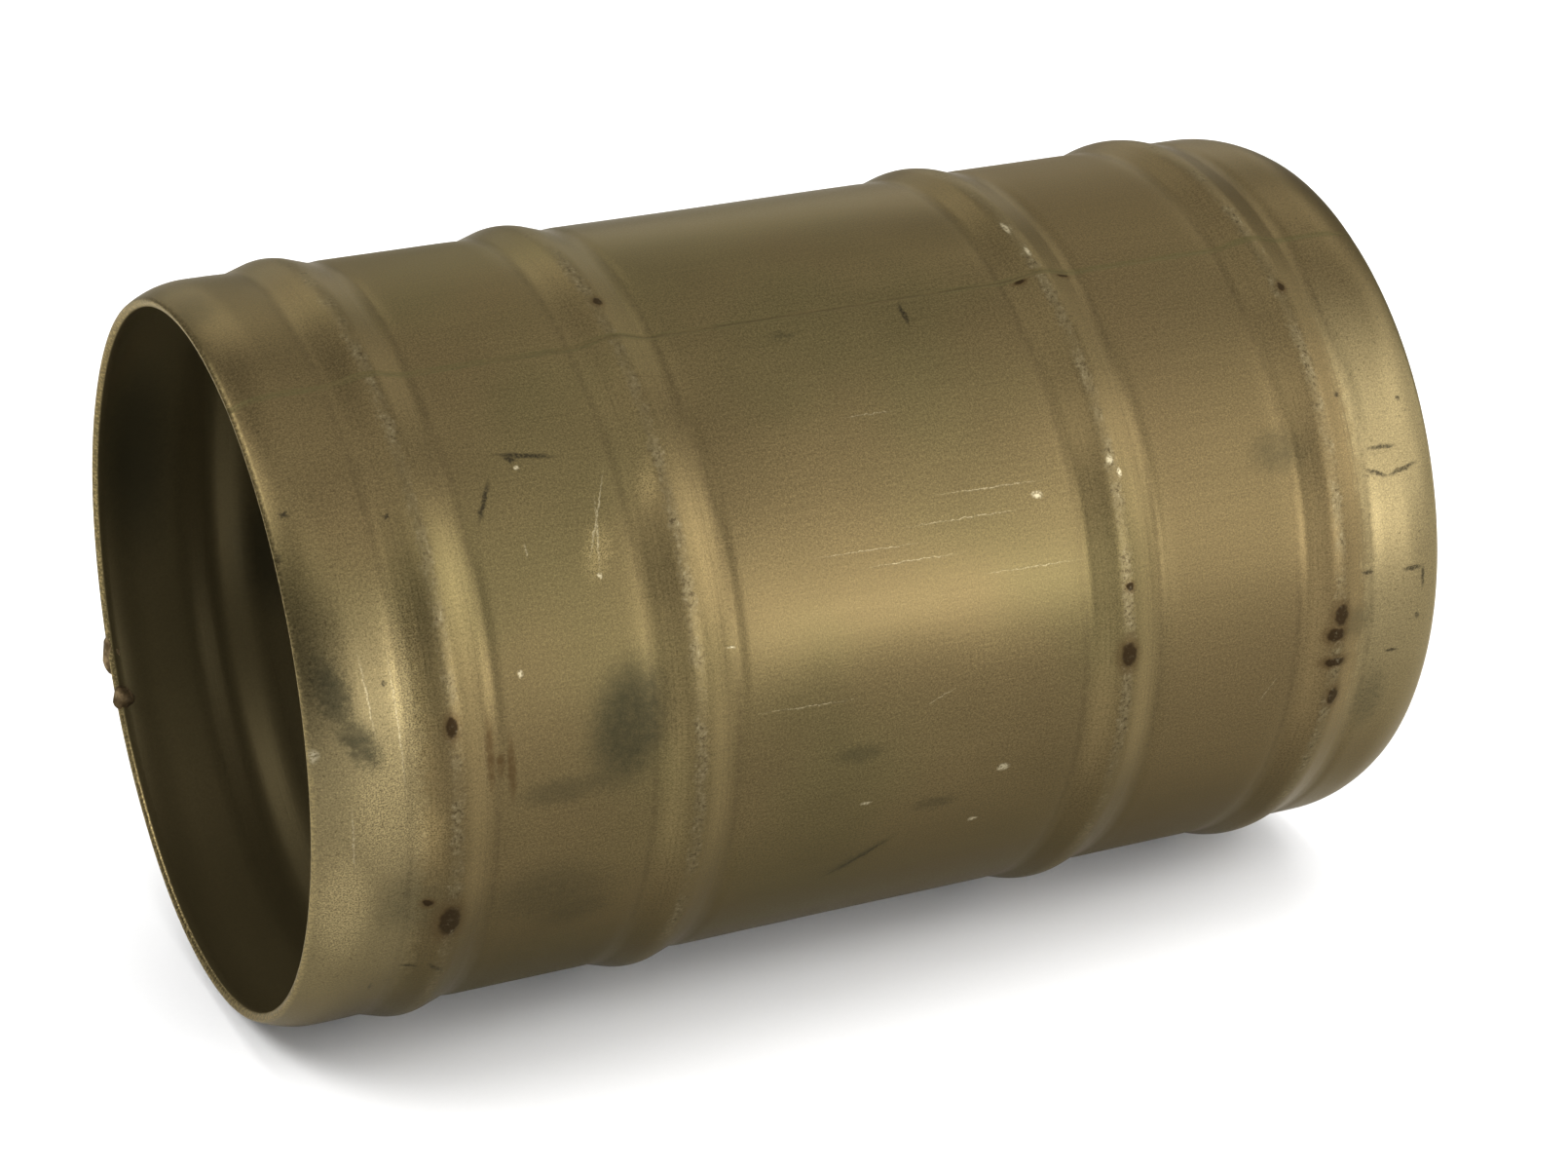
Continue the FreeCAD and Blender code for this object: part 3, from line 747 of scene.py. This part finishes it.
def make_sheet_steel():
    """Satin bronze-coloured sheet with all its wear, and with painted highlights and painted shade."""
    s = Shading("sheet_steel")
    sheet = sheet_places(s)
    colour = base_steel(s, sheet)
    for layer in (ends_wear_and_highlight, bead_sides, crest_wear, stains, rust, bare_marks, rims_and_inside):
        colour = layer(s, sheet, colour)
    return s.fill_shader(
        Base_Color=colour,
        Roughness=sheet_roughness(s, sheet),
        Metallic=s.math("MULTIPLY_ADD", sheet.inside, -0.45, 1.0),
        Specular_IOR_Level=FILM_SHINE,
        Specular_Tint=EDGE_TINT,
        Normal=s.bump(sheet_height(s, sheet), GRAIN_BUMP),
    )


# ---------------------------------------------------------------- the other materials
def make_seam_metal():
    """The flattened weld along the tube: the sheet's colour with a thin darker line."""
    s = Shading("seam_metal")
    place = s.sheet_place()
    along, around = s.parts(place)[0:2]
    grain = s.noise(place, 2.1, 2.0, 0.6)
    ragged = s.noise(s.stretch(place, (0.12, 1.0, 1.0)), 1.0, 3.0, 0.6)
    seam_middle = math.radians(SEAM_ANGLE) * PLAIN_RADIUS
    line = s.band(s.math("ADD", around, s.spread(ragged, -0.25, 0.25)), seam_middle, 0.45, 0.1)
    colour = s.tint(s.fade(ragged, 0.35, 0.65), BRONZE, GREENER)
    colour = s.brighten(colour, s.spread(grain, 0.74, 1.26))
    middle_stretch = s.fade(s.math("ABSOLUTE", along), 62.0, 40.0, 0.1, 1.0)
    darkness = s.product(line, s.fade(ragged, 0.30, 0.60, 0.1, 0.5), middle_stretch)
    return s.fill_shader(
        Base_Color=s.tint(darkness, colour, STAIN_BROWN),
        Roughness=s.spread(grain, 0.38, 0.50),
        Metallic=1.0,
        Specular_Tint=EDGE_TINT,
        Normal=s.bump(s.math("MULTIPLY_ADD", line, -0.8, grain), GRAIN_BUMP),
    )


def make_lump_metal():
    """Scaly brown weld spatter with paler worn patches."""
    s = Shading("lump_metal")
    room = s.room_place()
    scale = s.noise(room, 900.0, 3.0, 0.6)
    patches = s.noise(room, 380.0, 2.0)
    colour = s.tint(s.fade(patches, 0.40, 0.60), LUMP_BROWN, LUMP_WORN)
    return s.fill_shader(
        Base_Color=s.brighten(colour, s.spread(scale, 0.6, 1.4)),
        Roughness=s.spread(scale, 0.45, 0.7),
        Metallic=s.spread(patches, 0.8, 1.0),
        Specular_IOR_Level=FILM_SHINE,
        Specular_Tint=EDGE_TINT,
        Normal=s.bump(scale, SCALE_BUMP),
    )


def make_floor_material():
    """Matt white paper."""
    s = Shading("white_paper")
    shade = s.spread(s.noise(s.room_place(), 900.0, 2.0), 0.895, 0.905)
    colour = s.node("CombineColor", {0: shade, 1: shade, 2: shade}).outputs[0]
    return s.fill_shader(Base_Color=colour, Roughness=0.95, Specular_IOR_Level=0.1)


# ---------------------------------------------------------------- stage, lights and camera
# Distances are in metres, angles in degrees, and the lens and its sensor in millimetres.
FLOOR_REACH = 4.0
ROOM_BRIGHTNESS = 0.3
SOFT_BOX_DISTANCE = 1.6
CAMERA_TARGET = Vector((6.8, 0, AXIS_HEIGHT - 6.7)) * MM
CAMERA_DISTANCE = 0.8411
CAMERA_AZIMUTH = -25.14
CAMERA_ELEVATION = 23.0
CAMERA_LENS = 90.09
CAMERA_SENSOR = 36.0

# Soft boxes round the tube: name, azimuth, elevation, width and height in metres, brightness.
SOFT_BOXES = (
    ("key", 24, 14, 0.42, 0.75, 7.6),
    ("key_low", 24, 2, 0.42, 0.28, 16.5),
    ("key_high", 24, 32, 0.55, 0.40, 2.2),
    ("left_low", -8, 9, 0.45, 0.42, 4.2),
    ("right_low", 44, 9, 0.45, 0.42, 2.8),
    ("right_low_side", 60, 9, 0.45, 0.42, 6.0),
    ("far_right_low", 86, 9, 0.55, 0.42, 3.2),
    ("right_middle", 48, 28, 0.55, 0.45, 7.4),
    ("far_right", 70, 28, 0.55, 0.45, 4.3),
    ("side_right", 92, 28, 0.55, 0.45, 2.6),
    ("right_high", 46, 47, 0.70, 0.50, 2.9),
    ("left_high", -5, 47, 0.70, 0.50, 4.3),
    ("front_left_high", -40, 47, 0.70, 0.50, 1.2),
    ("left_side", -75, 47, 0.70, 0.50, 8.2),
    ("left_back", -110, 45, 0.80, 0.60, 4.6),
    ("right_back", 112, 45, 0.80, 0.60, 2.8),
    ("back_right_low", 150, 20, 0.80, 0.55, 1.5),
    ("back_right", 150, 45, 0.80, 0.60, 0.8),
    ("back_right_high", 150, 68, 0.70, 0.70, 0.9),
    ("back", 185, 45, 0.80, 0.60, 3.3),
    ("back_low", 185, 20, 0.80, 0.55, 1.3),
    ("ceiling_right", 60, 68, 0.70, 0.70, 1.4),
    ("ceiling_left", -30, 68, 0.70, 0.70, 1.4),
    ("ceiling", 0, 90, 0.90, 0.90, 1.3),
)


def make_floor():
    """White paper that reaches past the soft boxes."""
    corners = [(-1, -1, 0), (1, -1, 0), (1, 1, 0), (-1, 1, 0)]
    floor = add_piece("floor", np.array(corners) * FLOOR_REACH, [(0, 1, 2, 3)])
    floor.data.materials.append(make_floor_material())


def direction(azimuth, elevation):
    """Unit vector from the tube towards something seen at that azimuth and height; azimuth 0 is -Y."""
    turn, rise = math.radians(azimuth), math.radians(elevation)
    return Vector((math.sin(turn) * math.cos(rise), -math.cos(turn) * math.cos(rise), math.sin(rise)))


def aim_at(thing, target, away, distance):
    """Puts a lamp or camera into the scene, at a distance from the target and looking back at it."""
    thing.location = target + away * distance
    thing.rotation_euler = away.to_track_quat("Z", "Y").to_euler()
    bpy.context.scene.collection.objects.link(thing)


def make_area_light(name, azimuth, elevation, width, height, brightness):
    """A soft box facing the tube, given by its own surface brightness."""
    lamp = bpy.data.lights.new(name, "AREA")
    lamp.shape = "RECTANGLE"
    lamp.size, lamp.size_y = width, height
    lamp.energy = brightness * math.pi * width * height
    axis = Vector((0, 0, AXIS_HEIGHT * MM))
    aim_at(bpy.data.objects.new(name, lamp), axis, direction(azimuth, elevation), SOFT_BOX_DISTANCE)


def make_camera():
    """The camera, looking down past the open mouth."""
    camera_data = bpy.data.cameras.new("camera")
    camera_data.lens = CAMERA_LENS
    camera_data.sensor_width = CAMERA_SENSOR
    camera = bpy.data.objects.new("camera", camera_data)
    aim_at(camera, CAMERA_TARGET, direction(CAMERA_AZIMUTH, CAMERA_ELEVATION), CAMERA_DISTANCE)
    bpy.context.scene.camera = camera


def set_world(brightness):
    """An even white room all round."""
    world = bpy.data.worlds.new("room")
    bpy.context.scene.world = world
    world.use_nodes = True
    background = world.node_tree.nodes["Background"]
    background.inputs["Color"].default_value = (1, 1, 1, 1)
    background.inputs["Strength"].default_value = brightness


sheet_steel = make_sheet_steel()
seam_metal = make_seam_metal()
lump_metal = make_lump_metal()

pieces = [
    (make_rolled_wall(), "tube_wall", "sheet_steel", sheet_steel),
    (make_seam_strip(), "seam_weld", "weld_metal", seam_metal),
    (make_lump("rim_lump_outer", "weld_lump_outer"), "weld_lump_outer", "weld_metal", lump_metal),
    (make_lump("rim_lump_inner", "weld_lump_inner"), "weld_lump_inner", "weld_metal", lump_metal),
]
for piece, node, slot, material in pieces:
    piece.data.materials.append(material)
    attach(piece, "root")
    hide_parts(node)

make_floor()
make_camera()
set_world(ROOM_BRIGHTNESS)
for soft_box in SOFT_BOXES:
    make_area_light(*soft_box)
bpy.context.scene.view_settings.view_transform = "Standard"
